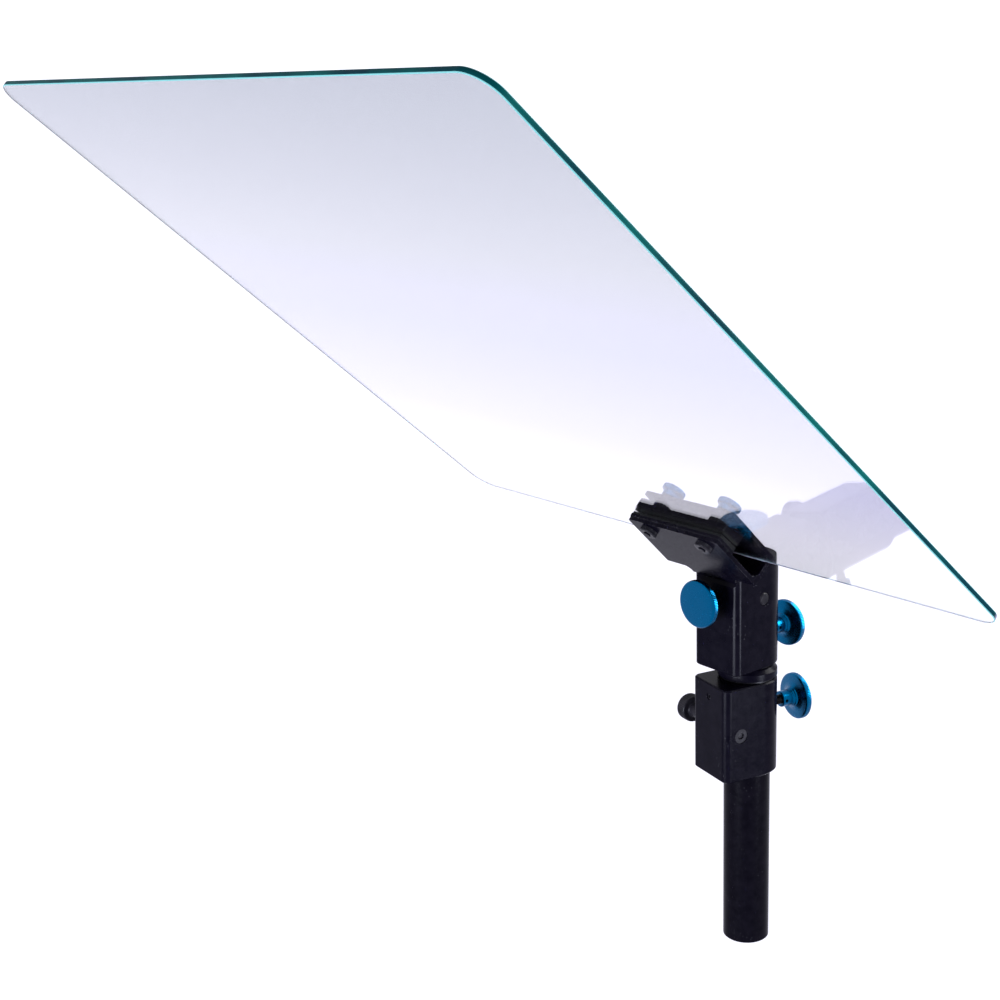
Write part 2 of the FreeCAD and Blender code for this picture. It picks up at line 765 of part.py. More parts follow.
def make_locks():
    forward = Rotation(X_AXIS, 90)
    backward = Rotation(X_AXIS, -90)
    tilt_place = Placement(Vector(0, -size(dim.block_front), size(dim.tilt_lock_level)), forward)
    tilt_tip = -(dim.block_front - dim.pivot_setback - dim.eye_radius - dim.moving_gap)
    make_lock("tilt", tilt_place, dim.tilt_knob_reach, tilt_tip)
    groove = -(dim.block_width / 2 - dim.groove_diameter / 2 - dim.moving_gap)
    pan_place = Placement(Vector(0, size(BACK), size(dim.pan_lock_level)), backward)
    make_lock("pan", pan_place, dim.pan_knob_reach, groove)
    spigot_place = Placement(Vector(0, size(BACK), size(dim.spigot_lock_level)), backward)
    make_lock("spigot", turned_frame().multiply(spigot_place), dim.spigot_knob_reach, groove)


# ---------------------------------------------------------------- tilt joint

def make_pivot_bolt():
    body = new_body("pivot_bolt")
    place = (0, dim.pivot_level, dim.pivot_setback)
    head_outer = -(dim.block_width / 2 - dim.pivot_head_recess)
    head_inner = head_outer + dim.pivot_head_height
    head = dim.pivot_head_diameter / 2
    shaft = dim.pivot_diameter / 2 - dim.pivot_fit
    end = dim.block_width / 2 + dim.pivot_end_proud
    profile = [
        (head_outer, 0), (head_outer, head - dim.bevel), (head_outer + dim.bevel, head),
        (head_inner, head), (head_inner, shaft), (end - dim.broad_bevel, shaft),
        (end, shaft - dim.broad_bevel), (end, 0),
    ]
    turn(body, "XZ_Plane", "H_Axis", profile, place)
    socket_place = (-dim.pivot_setback, dim.pivot_level, head_outer)
    socket = new_sketch(body, "YZ_Plane", socket_place)
    draw_hexagon(socket, dim.pivot_socket)
    cut_through(body, socket, dim.pivot_socket_depth)


def make_tongue():
    body = new_body("tilt_tongue", arm_frame())
    eye = new_sketch(body, "YZ_Plane")
    draw_circle(eye, 0, 0, dim.eye_radius)
    pad(body, eye, dim.tongue_width, symmetric=True)
    shank = new_sketch(body, "YZ_Plane")
    draw_polygon(shank, [
        (-dim.tongue_below, 0), (dim.tongue_above, 0),
        (dim.tongue_above, dim.head_start), (-dim.tongue_below, dim.head_start),
    ])
    pad(body, shank, dim.tongue_width, symmetric=True)
    hole = dim.pivot_diameter / 2 + dim.running_fit
    round_bore(body, "XZ_Plane", "H_Axis", -dim.tongue_width, dim.tongue_width, hole, (0, 0, 0))
    middle = -(dim.tongue_above - dim.tongue_below) / 2
    bottom = dim.head_start - dim.tongue_screw_length - dim.overrun
    for side in (-1, 1):
        place = (side * dim.tongue_screw_spacing / 2, 0, middle)
        round_bore(body, "XZ_Plane", "V_Axis", bottom, dim.head_start + dim.overrun,
                   dim.tongue_screw_diameter / 2, place)


def make_tilt_washers():
    hole = dim.pivot_diameter / 2 + dim.tilt_washer_fit
    half = size(dim.tongue_width / 2)
    for label, side in (("tilt_washer_left", -1), ("tilt_washer_right", 1)):
        start = Vector(side * half, -size(dim.pivot_setback), size(dim.pivot_level))
        place = Placement(start, Rotation(Y_AXIS, 90 * side))
        make_washer(label, hole, dim.tilt_washer_diameter / 2, dim.tilt_washer_thickness, place)


def make_tongue_screws():
    """Two socket-head screws from inside the clamp head into the tongue."""
    middle = size((dim.tongue_above - dim.tongue_below) / 2)
    seat = size(dim.head_start + dim.plate)
    screws = []
    for label, side in (("tongue_screw_a", -1), ("tongue_screw_b", 1)):
        across = size(side * dim.tongue_screw_spacing / 2)
        place = arm_frame().multiply(Placement(Vector(across, middle, seat), Rotation()))
        body = new_body(label, place)
        shank = dim.tongue_screw_diameter / 2 - dim.running_fit
        head = dim.tongue_screw_head_diameter / 2
        end = -dim.tongue_screw_length
        top = dim.tongue_screw_head_height
        profile = [
            (end, 0), (end, shank - dim.fine_bevel), (end + dim.fine_bevel, shank), (0, shank),
            (0, head), (top - dim.fine_bevel, head), (top, head - dim.fine_bevel), (top, 0),
        ]
        turn(body, "XZ_Plane", "V_Axis", profile)
        socket = new_sketch(body, "XY_Plane", (0, 0, top))
        draw_hexagon(socket, dim.tongue_screw_socket)
        cut_through(body, socket, dim.tongue_screw_socket_depth)
        screws.append(body)
    return group("tongue_screws", screws)


# ---------------------------------------------------------------- clamp head

INNER_LOW = -dim.head_below + dim.plate
INNER_HIGH = dim.head_above - dim.plate
CLAMP_ALONG = dim.head_end - dim.clamp_setback
CLAMP_SIDES = (("left", -dim.clamp_spacing / 2), ("right", dim.clamp_spacing / 2))


def make_clamp_channel():
    body = new_body("clamp_channel", arm_frame())
    low = -dim.head_below
    high = dim.head_above
    start = dim.head_start
    end = dim.head_end
    floor = dim.head_start + dim.plate
    section = new_sketch(body, "YZ_Plane")
    draw_polygon(section, [
        (low, start), (high, start), (high, end), (INNER_HIGH, end),
        (INNER_HIGH, floor), (INNER_LOW, floor), (INNER_LOW, end), (low, end),
    ])
    pad(body, section, dim.head_width, symmetric=True)

    # neck: the lower plate runs on towards the pivot, as wide as the block
    neck = new_sketch(body, "YZ_Plane")
    draw_polygon(neck, [
        (low, dim.neck_start), (INNER_LOW, dim.neck_start), (INNER_LOW, floor), (low, floor),
    ])
    pad(body, neck, dim.block_width, symmetric=True)

    floor_level = size(floor)
    start_level = size(start)

    def inner_corner(edge):
        return along(edge, X_AXIS) and close(edge.CenterOfMass.z, floor_level)

    def neck_corner(edge):
        centre = edge.CenterOfMass
        beside_neck = close(abs(centre.x), size(dim.block_width / 2))
        return along(edge, Y_AXIS) and close(centre.z, start_level) and beside_neck

    def mouth_corner(edge):
        centre = edge.CenterOfMass
        at_side = close(abs(centre.x), size(dim.head_width / 2))
        return along(edge, Y_AXIS) and close(centre.z, size(end)) and at_side

    def upper_plate_root(edge):
        centre = edge.CenterOfMass
        return along(edge, X_AXIS) and close(centre.z, start_level) and centre.y > 0

    dress(body, "Fillet", inner_corner, dim.head_fillet)
    dress(body, "Fillet", neck_corner, dim.neck_fillet)
    dress(body, "Fillet", mouth_corner, dim.mouth_fillet)
    dress(body, "Fillet", upper_plate_root, dim.root_fillet)

    for _, across in CLAMP_SIDES:
        top_place = (across, 0, CLAMP_ALONG)
        round_bore(body, "XY_Plane", "V_Axis", INNER_HIGH - dim.overrun, high + dim.overrun,
                   dim.clamp_stud_diameter / 2 + dim.bush_wall, top_place)
        round_bore(body, "XY_Plane", "V_Axis", low - dim.overrun, INNER_LOW + dim.overrun,
                   dim.jaw_stud_diameter / 2 + dim.slip_fit, top_place)
    middle = -(dim.tongue_above - dim.tongue_below) / 2
    hole = dim.tongue_screw_diameter / 2 + dim.slip_fit
    spot_face = dim.tongue_screw_head_diameter / 2 + dim.seat_gap
    spot_top = floor + dim.head_fillet + dim.overrun
    below = start - dim.overrun
    profile = [
        (below, 0), (below, hole), (floor, hole), (floor, spot_face),
        (spot_top, spot_face), (spot_top, 0),
    ]
    for side in (-1, 1):
        bore(body, "XZ_Plane", "V_Axis", profile, (side * dim.tongue_screw_spacing / 2, 0, middle))


def under_glass(along_arm):
    """Height of the underside of the glass, in the arm frame, at a place along the arm."""
    lean = tangent(dim.glass_angle - dim.arm_angle)
    return dim.glass_edge_height - (along_arm - dim.glass_edge_along) * lean


def over_glass(along_arm):
    lift = dim.glass_thickness / cosine(dim.glass_angle - dim.arm_angle)
    return under_glass(along_arm) + lift


JAW_BACK = dim.head_end - dim.jaw_depth
LOWER_JAW_TOP = INNER_LOW + dim.lower_jaw_thickness


def make_lower_jaw():
    body = new_body("lower_jaw", arm_frame())
    section = new_sketch(body, "YZ_Plane")
    draw_polygon(section, [
        (INNER_LOW, JAW_BACK), (LOWER_JAW_TOP, JAW_BACK),
        (LOWER_JAW_TOP, dim.head_end), (INNER_LOW, dim.head_end),
    ])
    pad(body, section, dim.head_width, symmetric=True)
    stud_end = -dim.head_below - dim.jaw_nut_thickness - dim.jaw_stud_proud
    stud = dim.jaw_stud_diameter / 2 - dim.running_fit
    for _, across in CLAMP_SIDES:
        profile = [(stud_end, 0), (stud_end, stud), (LOWER_JAW_TOP, stud), (LOWER_JAW_TOP, 0)]
        turn(body, "XY_Plane", "V_Axis", profile, (across, 0, CLAMP_ALONG))


def make_pads():
    """Rubber faces, wedge-shaped because the pane lies flatter than the jaws."""
    front = dim.head_end - dim.pad_inset
    width = dim.head_width - 2 * dim.pad_inset
    lower = new_body("lower_jaw_pad", arm_frame())
    section = new_sketch(lower, "YZ_Plane")
    draw_polygon(section, [
        (LOWER_JAW_TOP, JAW_BACK), (under_glass(JAW_BACK), JAW_BACK),
        (under_glass(front), front), (LOWER_JAW_TOP, front),
    ])
    pad(lower, section, width, symmetric=True)
    upper = new_body("upper_jaw_pad", arm_frame())
    section = new_sketch(upper, "YZ_Plane")
    draw_polygon(section, [
        (dim.upper_jaw_bottom, JAW_BACK), (dim.upper_jaw_bottom, front),
        (over_glass(front) + dim.moving_gap, front),
        (over_glass(JAW_BACK) + dim.moving_gap, JAW_BACK),
    ])
    pad(upper, section, width, symmetric=True)


def make_lower_jaw_nuts():
    nuts = []
    for label, across in CLAMP_SIDES:
        body = new_body("lower_jaw_nut_" + label, arm_frame())
        outer = dim.jaw_nut_diameter / 2
        hole = dim.jaw_stud_diameter / 2
        top = -dim.head_below
        bottom = -dim.head_below - dim.jaw_nut_thickness
        profile = [
            (top, hole), (top, outer), (bottom + dim.small_bevel, outer),
            (bottom, outer - dim.small_bevel), (bottom, hole),
        ]
        turn(body, "XY_Plane", "V_Axis", profile, (across, 0, CLAMP_ALONG))
        nuts.append(body)
    return group("lower_jaw_nuts", nuts)


def make_upper_jaw():
    body = new_body("upper_jaw", arm_frame())
    bottom = dim.upper_jaw_bottom
    top = dim.upper_jaw_bottom + dim.upper_jaw_thickness
    section = new_sketch(body, "YZ_Plane")
    draw_polygon(section, [
        (bottom, JAW_BACK), (top, JAW_BACK), (top, dim.head_end), (bottom, dim.head_end),
    ])
    pad(body, section, dim.head_width, symmetric=True)
    for _, across in CLAMP_SIDES:
        round_bore(body, "XY_Plane", "V_Axis", top - dim.clamp_hole_depth, top + dim.overrun,
                   dim.clamp_stud_diameter / 2 + dim.running_fit, (across, 0, CLAMP_ALONG))


def make_thread_bushes():
    bushes = []
    for label, across in CLAMP_SIDES:
        body = new_body("clamp_thread_bush_" + label, arm_frame())
        hole = dim.clamp_stud_diameter / 2 + dim.running_fit
        shank = dim.clamp_stud_diameter / 2 + dim.bush_wall
        flange = shank + dim.bush_flange_width
        top = dim.head_above + dim.bush_flange_thickness
        profile = [
            (INNER_HIGH, hole), (INNER_HIGH, shank), (dim.head_above, shank),
            (dim.head_above, flange), (top, flange), (top, hole),
        ]
        turn(body, "XY_Plane", "V_Axis", profile, (across, 0, CLAMP_ALONG))
        bushes.append(body)
    return group("clamp_thread_bushes", bushes)


def make_clamp_screws():
    jaw_top = dim.upper_jaw_bottom + dim.upper_jaw_thickness
    hub_start = dim.head_above + dim.bush_flange_thickness + dim.clamp_head_gap
    rim_start = hub_start + dim.clamp_hub_length
    head_top = rim_start + dim.clamp_head_rim
    stud_radius = dim.clamp_stud_diameter / 2
    hub = dim.clamp_hub_diameter / 2
    rim = dim.clamp_head_diameter / 2
    for label, across in CLAMP_SIDES:
        place = (across, 0, CLAMP_ALONG)
        stud = new_body("clamp_stud_" + label, arm_frame())
        tip = jaw_top - dim.clamp_tip_depth
        stud_top = head_top - dim.stud_recess
        profile = [
            (tip, 0), (tip, stud_radius - dim.small_bevel), (tip + dim.small_bevel, stud_radius),
            (stud_top, stud_radius), (stud_top, 0),
        ]
        turn(stud, "XY_Plane", "V_Axis", profile, place)
        knob = new_body("clamp_knob_" + label, arm_frame())
        profile = [
            (hub_start, stud_radius), (hub_start, hub - dim.fine_bevel),
            (hub_start + dim.fine_bevel, hub), (rim_start, hub),
            (rim_start, rim - dim.small_bevel), (rim_start + dim.small_bevel, rim),
            (head_top - dim.small_bevel, rim), (head_top, rim - dim.small_bevel),
            (head_top, stud_radius),
        ]
        turn(knob, "XY_Plane", "V_Axis", profile, place)


# ---------------------------------------------------------------- glass

def make_glass():
    body = new_body("glass_pane", glass_frame())
    outline = new_sketch(body, "XZ_Plane", (0, 0, -dim.glass_thickness / 2))
    half = dim.glass_width / 2
    draw_polygon(outline, [
        (-half, 0), (half, 0), (half, dim.glass_length),
        (-half, dim.glass_length),
    ])
    pad(body, outline, dim.glass_thickness, symmetric=True)

    def corner(edge):
        return along(edge, Y_AXIS)

    dress(body, "Fillet", corner, dim.glass_corner)
    thickness = size(dim.glass_thickness)

    def arris(edge):
        box = edge.BoundBox
        return box.YLength < 0.01 and (close(box.YMin, 0) or close(box.YMin, thickness))

    dress(body, "Chamfer", arris, dim.glass_arris)


# ---------------------------------------------------------------- build and write

make_pole()
make_bushing()
make_lower_block()
make_anti_lift_screw()
make_cotter()
make_thrust_washers()
make_spigot()
make_upper_block()
make_locks()
make_pivot_bolt()
make_tongue()
make_tilt_washers()
make_clamp_channel()
make_lower_jaw()
make_pads()
make_upper_jaw()
make_clamp_screws()
make_glass()
groups = [make_tongue_screws(), make_lower_jaw_nuts(), make_thread_bushes()]
doc.recompute()

grouped = [member for compound in groups for member in compound.Links]
bodies = [item for item in doc.Objects if item.TypeId == "PartDesign::Body"]
sub_parts = [body for body in bodies if body not in grouped] + groups

for item in doc.Objects:
    if "Invalid" in item.State or "Error" in item.State:
        raise RuntimeError("%s is %s" % (item.Label, item.State))
for item in sub_parts:
    if item.Shape.isNull() or not item.Shape.isValid():
        raise RuntimeError("%s has no valid shape" % item.Label)

os.makedirs("parts", exist_ok=True)
for item in sub_parts:
    item.Shape.exportStep(os.path.join("parts", item.Label + ".step"))
print("wrote %d sub-parts" % len(sub_parts))
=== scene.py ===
import json
import math

import bmesh
import bpy
from mathutils import Matrix, Vector

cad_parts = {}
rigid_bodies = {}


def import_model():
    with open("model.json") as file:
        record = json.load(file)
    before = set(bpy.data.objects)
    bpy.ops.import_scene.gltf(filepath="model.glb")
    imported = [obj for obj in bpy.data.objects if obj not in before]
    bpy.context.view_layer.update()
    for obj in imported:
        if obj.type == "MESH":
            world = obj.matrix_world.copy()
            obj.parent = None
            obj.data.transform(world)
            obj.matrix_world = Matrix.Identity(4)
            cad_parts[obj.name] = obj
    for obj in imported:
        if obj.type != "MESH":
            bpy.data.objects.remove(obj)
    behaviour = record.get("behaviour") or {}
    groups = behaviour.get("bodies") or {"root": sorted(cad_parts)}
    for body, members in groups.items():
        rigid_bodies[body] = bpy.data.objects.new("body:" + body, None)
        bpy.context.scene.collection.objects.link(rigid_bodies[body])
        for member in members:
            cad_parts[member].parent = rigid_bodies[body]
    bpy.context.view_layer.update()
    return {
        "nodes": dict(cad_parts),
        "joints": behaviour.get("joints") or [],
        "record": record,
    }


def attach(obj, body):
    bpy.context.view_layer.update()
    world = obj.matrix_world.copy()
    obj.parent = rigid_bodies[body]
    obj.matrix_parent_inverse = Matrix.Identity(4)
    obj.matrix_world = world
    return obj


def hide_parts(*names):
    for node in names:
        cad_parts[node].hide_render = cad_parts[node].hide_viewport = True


# Looks of a conference teleprompter head: a tilted beam-splitter pane in a screw clamp,
# on a black anodised tilt and pan block at the top of a round pole. Metres throughout;
# outlines of turned pieces are written in millimetres and scaled by MM.

MM = 0.001
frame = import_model()
NODES = frame["nodes"]
JOINTS = {joint["name"]: joint for joint in frame["joints"]}
BODY_OF = {
    node: body
    for body, members in frame["record"]["behaviour"]["bodies"].items()
    for node in members
}
SLOT_OF = {part["node"]: part["material_slot"] for part in frame["record"]["subparts"]}

ARM_ANGLE = math.radians(45)  # the clamp head above the level
GLASS_ANGLE = math.radians(49)  # the pane forward of upright


# ---------------------------------------------------------------- materials
#
# Scales of noise are in cycles per metre and depths of grain are in metres.

def new_material(name):
    material = bpy.data.materials.new(name)
    material.use_nodes = True
    tree = material.node_tree
    shader = tree.nodes["Principled BSDF"]
    return material, tree, shader


def add_node(tree, kind, **inputs):
    node = tree.nodes.new(kind)
    for name, value in inputs.items():
        node.inputs[name.replace("_", " ")].default_value = value
    return node


def object_coordinates(tree):
    return tree.nodes.new("ShaderNodeTexCoord").outputs["Object"]


def noise(tree, coordinates, scale, detail=4.0, roughness=0.55):
    node = add_node(tree, "ShaderNodeTexNoise", Scale=scale, Detail=detail, Roughness=roughness)
    tree.links.new(coordinates, node.inputs["Vector"])
    return node.outputs["Fac"]


def remap(tree, value, low, high, new_low=0.0, new_high=1.0):
    node = tree.nodes.new("ShaderNodeMapRange")
    tree.links.new(value, node.inputs["Value"])
    node.inputs["From Min"].default_value = low
    node.inputs["From Max"].default_value = high
    node.inputs["To Min"].default_value = new_low
    node.inputs["To Max"].default_value = new_high
    return node.outputs["Result"]


def math_node(tree, operation, first, second=None):
    node = tree.nodes.new("ShaderNodeMath")
    node.operation = operation
    for index, value in enumerate((first, second)):
        if value is None:
            continue
        if isinstance(value, (int, float)):
            node.inputs[index].default_value = value
        else:
            tree.links.new(value, node.inputs[index])
    return node.outputs["Value"]


def mix_colours(tree, factor, first, second):
    node = tree.nodes.new("ShaderNodeMix")
    node.data_type = "RGBA"
    tree.links.new(factor, node.inputs["Factor"])
    for socket, colour in (("A", first), ("B", second)):
        target = [s for s in node.inputs if s.name == socket and s.type == "RGBA"][0]
        if isinstance(colour, tuple):
            target.default_value = (*colour, 1.0)
        else:
            tree.links.new(colour, target)
    return [s for s in node.outputs if s.type == "RGBA"][0]


def bump(tree, shader, height, strength, distance):
    node = add_node(tree, "ShaderNodeBump", Strength=strength, Distance=distance)
    tree.links.new(height, node.inputs["Height"])
    tree.links.new(node.outputs["Normal"], shader.inputs["Normal"])


def specks(tree, coordinates, scale, size):
    """Sparse dust: 1 in small dots, 0 elsewhere. A broader noise keeps it to patches."""
    core = size * 0.6
    patch_scale = scale * 0.13
    patch_start = 0.58
    patch_full = 0.62
    cells = add_node(tree, "ShaderNodeTexVoronoi", Scale=scale, Randomness=1.0)
    tree.links.new(coordinates, cells.inputs["Vector"])
    dot = remap(tree, cells.outputs["Distance"], core, size, 1.0, 0.0)
    rare = noise(tree, coordinates, patch_scale, detail=2.0)
    return math_node(tree, "MULTIPLY", dot, remap(tree, rare, patch_start, patch_full))


def satin_black(name, dark, light, roughness, gloss, grain, dust):
    """Black finish over metal: soft cloudy tone, fine grain and a little dust."""
    cloud_scale = 160.0
    wear_scale = 500.0
    grain_scale = 2600.0
    grain_depth = 0.00006
    dust_scale = 420.0
    dust_size = 0.2
    dust_colour = (0.03, 0.03, 0.032)
    material, tree, shader = new_material(name)
    place = object_coordinates(tree)
    clouds = noise(tree, place, cloud_scale)
    colour = mix_colours(tree, remap(tree, clouds, 0.35, 0.7), dark, light)
    dots = specks(tree, place, dust_scale, dust_size)
    colour = mix_colours(tree, math_node(tree, "MULTIPLY", dots, dust), colour, dust_colour)
    tree.links.new(colour, shader.inputs["Base Color"])
    fine = noise(tree, place, grain_scale, detail=3.0)
    wear = noise(tree, place, wear_scale)
    rough = remap(tree, wear, 0.3, 0.7, roughness - 0.05, roughness + 0.06)
    tree.links.new(rough, shader.inputs["Roughness"])
    shader.inputs["Specular IOR Level"].default_value = gloss
    bump(tree, shader, fine, grain, grain_depth)
    return material


def turned_metal(name, tint, roughness, pitch=0.00032, strength=0.02):
    """Metal turned about its local Z: faint tool rings and clouded polish."""
    cloud_scale = 260.0
    drift_scale = 700.0
    drift_share = 0.08
    ring_depth = 0.000006
    clouded = 0.97
    polish = 0.03
    material, tree, shader = new_material(name)
    place = object_coordinates(tree)
    split = tree.nodes.new("ShaderNodeSeparateXYZ")
    tree.links.new(place, split.inputs["Vector"])
    x_squared = math_node(tree, "POWER", split.outputs["X"], 2.0)
    y_squared = math_node(tree, "POWER", split.outputs["Y"], 2.0)
    radius = math_node(tree, "SQRT", math_node(tree, "ADD", x_squared, y_squared))
    waves = math_node(tree, "MULTIPLY", radius, 2 * math.pi / pitch)
    rings = math_node(tree, "SINE", waves)
    drift = math_node(tree, "MULTIPLY", noise(tree, place, drift_scale), drift_share)
    height = math_node(tree, "ADD", rings, drift)
    clouds = noise(tree, place, cloud_scale)
    shade = tuple(channel * clouded for channel in tint)
    colour = mix_colours(tree, remap(tree, clouds, 0.3, 0.7), shade, tint)
    tree.links.new(colour, shader.inputs["Base Color"])
    shader.inputs["Metallic"].default_value = 1.0
    rough = remap(tree, clouds, 0.3, 0.7, roughness - polish, roughness + polish)
    tree.links.new(rough, shader.inputs["Roughness"])
    bump(tree, shader, height, strength, ring_depth)
    return material


def soft_plastic(name, dark, light, roughness, gloss, grain_scale, depth):
    """Moulded rubber or nylon: soft cloudy tone and an even grain."""
    cloud_scale = 300.0
    wear_scale = 800.0
    wear_range = 0.06
    grain = 0.5
    material, tree, shader = new_material(name)
    place = object_coordinates(tree)
    clouds = noise(tree, place, cloud_scale)
    colour = mix_colours(tree, remap(tree, clouds, 0.3, 0.7), dark, light)
    tree.links.new(colour, shader.inputs["Base Color"])
    wear = noise(tree, place, wear_scale)
    rough = remap(tree, wear, 0.3, 0.7, roughness - wear_range, roughness + wear_range)
    tree.links.new(rough, shader.inputs["Roughness"])
    shader.inputs["Specular IOR Level"].default_value = gloss
    bump(tree, shader, noise(tree, place, grain_scale), grain, depth)
    return material


# Tint of the pane, from the lower edge (0) to the upper edge (1): clear below, darker and greyer
# upwards
PANE_TINT_BY_HEIGHT = [
    (0.0, (1.0, 1.0, 1.0)), (0.12, (0.96, 0.95, 0.99)), (0.3, (0.77, 0.765, 0.92)),
    (0.45, (0.69, 0.695, 0.8)), (0.54, (0.645, 0.66, 0.74)), (0.62, (0.64, 0.65, 0.7)),
    (0.71, (0.6, 0.62, 0.63)), (0.88, (0.495, 0.52, 0.54)), (1.0, (0.43, 0.46, 0.485)),
]
GLASS_IOR = 1.52


def pane_glass(name, length):
    """Part-silvered pane, its tint darker towards the upper edge (local +Z)."""
    material, tree, shader = new_material(name)
    place = object_coordinates(tree)
    split = tree.nodes.new("ShaderNodeSeparateXYZ")
    tree.links.new(place, split.inputs["Vector"])
    along = remap(tree, split.outputs["Z"], 0.0, length)
    ramp = tree.nodes.new("ShaderNodeValToRGB")
    tree.links.new(along, ramp.inputs["Fac"])
    while len(ramp.color_ramp.elements) < len(PANE_TINT_BY_HEIGHT):
        ramp.color_ramp.elements.new(0.5)
    for element, (position, colour) in zip(ramp.color_ramp.elements, PANE_TINT_BY_HEIGHT):
        element.position = position
        element.color = (*colour, 1.0)
    tree.links.new(ramp.outputs["Color"], shader.inputs["Base Color"])
    shader.inputs["Transmission Weight"].default_value = 1.0
    shader.inputs["IOR"].default_value = GLASS_IOR
    shader.inputs["Roughness"].default_value = 0.0
    return material


def glass_rim(name):
    """Ground edge of the pane, painted with the green light that gathers in the glass and comes out
    there.

    The lower edge is painted a pale light instead."""
    dark_green = (0.0, 0.011, 0.015)
    light_green = (0.0, 0.042, 0.035)
    pale = (0.22, 0.21, 0.28)
    pale_until = 0.001
    green_from = 0.012
    streak_scale = 26.0
    material, tree, shader = new_material(name)
    place = object_coordinates(tree)
    split = tree.nodes.new("ShaderNodeSeparateXYZ")
    tree.links.new(place, split.inputs["Vector"])
    # Darker and lighter streaks of the painted green light along the edge
    streaks = noise(tree, place, streak_scale, detail=2.0)
    colour = mix_colours(tree, remap(tree, streaks, 0.4, 0.75), dark_green, light_green)
    lower = remap(tree, split.outputs["Z"], pale_until, green_from, 1.0, 0.0)
    colour = mix_colours(tree, lower, colour, pale)
    tree.links.new(colour, shader.inputs["Base Color"])
    shader.inputs["Roughness"].default_value = 0.35
    shader.inputs["Specular IOR Level"].default_value = 0.01
    return material


def frosted_arris(name):
    """Narrow ground bevels between the faces and the edge: deep green, finely frosted."""
    frost_scale = 1800.0
    material, tree, shader = new_material(name)
    frost = noise(tree, object_coordinates(tree), frost_scale)
    colour = mix_colours(tree, frost, (0.04, 0.12, 0.115), (0.08, 0.2, 0.19))
    tree.links.new(colour, shader.inputs["Base Color"])
    shader.inputs["Roughness"].default_value = 0.5
    shader.inputs["Specular IOR Level"].default_value = 0.05
    return material


BLUE = (0.0, 0.08, 0.182)
DULL_ZINC = (0.035, 0.034, 0.034)
EDGE_SLOTS = ("black_anodised", "black_pole")
MATERIALS = {
    "black_anodised": satin_black(
        "black_anodised", dark=(0.0006, 0.0005, 0.0016), light=(0.0016, 0.0014, 0.0028),
        roughness=0.22, gloss=0.02, grain=0.2, dust=0.35),
    "black_pole": satin_black(
        "black_pole", dark=(0.0006, 0.0005, 0.0012), light=(0.0014, 0.0012, 0.0022),
        roughness=0.2, gloss=0.02, grain=0.15, dust=0.15),
    "blue_anodised": turned_metal("blue_anodised", BLUE, roughness=0.27),
    "zinc_steel": turned_metal("zinc_steel", DULL_ZINC, roughness=0.22),
    "black_oxide_steel": satin_black(
        "black_oxide_steel", dark=(0.002, 0.002, 0.003), light=(0.006, 0.0055, 0.007),
        roughness=0.3, gloss=0.06, grain=0.3, dust=0.2),
    "black_rubber": soft_plastic(
        "black_rubber", dark=(0.0015, 0.0018, 0.0018), light=(0.004, 0.0045, 0.0045),
        roughness=0.5, gloss=0.05, grain_scale=2200.0, depth=0.0001),
    "nylon": soft_plastic(
        "nylon", dark=(0.6, 0.58, 0.52), light=(0.7, 0.68, 0.62),
        roughness=0.45, gloss=0.4, grain_scale=1500.0, depth=0.00003),
    "black_nylon": soft_plastic(
        "black_nylon", dark=(0.002, 0.002, 0.0028), light=(0.004, 0.004, 0.005),
        roughness=0.35, gloss=0.08, grain_scale=1500.0, depth=0.00003),
}

# Broken edges of the black pieces: most get a faint painted highlight, a lighter and glossier
# black; a few get a bright painted highlight; a few are plain
FAINT_HIGHLIGHT_EDGE = satin_black("painted_faint_highlight_edge", dark=(0.003, 0.003, 0.004), light=(0.008, 0.008, 0.009),
                        roughness=0.26, gloss=0.15, grain=0.1, dust=0.0)
BRIGHT_HIGHLIGHT_EDGE = satin_black("painted_bright_highlight_edge", dark=(0.05, 0.05, 0.055), light=(0.16, 0.16, 0.17),
                        roughness=0.3, gloss=0.8, grain=0.1, dust=0.0)
BRIGHT_HIGHLIGHT_EDGED = ("clamp_channel",)
PLAIN_EDGED = ("spigot",)


# ---------------------------------------------------------------- mesh helpers

MERGE_DISTANCE = 2e-6  # metres
FLAT_ANGLE = 0.4  # degrees: faces that meet at less are one face
KNURLED_ANGLE = 24  # degrees: edges sharper than this stay sharp on knurled pieces
THREADED_ANGLE = 40


def mesh_from(work, name):
    """Writes an edit mesh out as a new mesh and frees it."""
    mesh = bpy.data.meshes.new(name)
    work.to_mesh(mesh)
    work.free()
    return mesh


def link(name, mesh, place, material):
    piece = bpy.data.objects.new(name, mesh)
    piece.matrix_world = place
    mesh.materials.clear()
    mesh.materials.append(material)
    bpy.context.scene.collection.objects.link(piece)
    return piece


def settle(piece, *nodes):
    """The piece stands for these CAD nodes and moves with their body."""
    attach(piece, BODY_OF[nodes[0]])
    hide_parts(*nodes)
    return piece


def smooth(mesh, angle=32):
    """Smooth shading, with edges sharper than angle (degrees) left sharp."""
    mesh.shade_smooth()
    mesh.set_sharp_from_angle(angle=math.radians(angle))


def apply_modifiers(piece):
    """Replaces the piece's mesh by the result of its modifiers."""
    view = bpy.context.evaluated_depsgraph_get()
    mesh = bpy.data.meshes.new_from_object(piece.evaluated_get(view))
    old = piece.data
    piece.modifiers.clear()
    piece.data = mesh
    bpy.data.meshes.remove(old)


def even_normals(piece):
    """Flat faces stay flat to the eye, and the small bevels take up the turn of the light."""
    weighted = piece.modifiers.new("normals", "WEIGHTED_NORMAL")
    weighted.mode = "FACE_AREA"
    weighted.weight = 100
    weighted.keep_sharp = True
    apply_modifiers(piece)


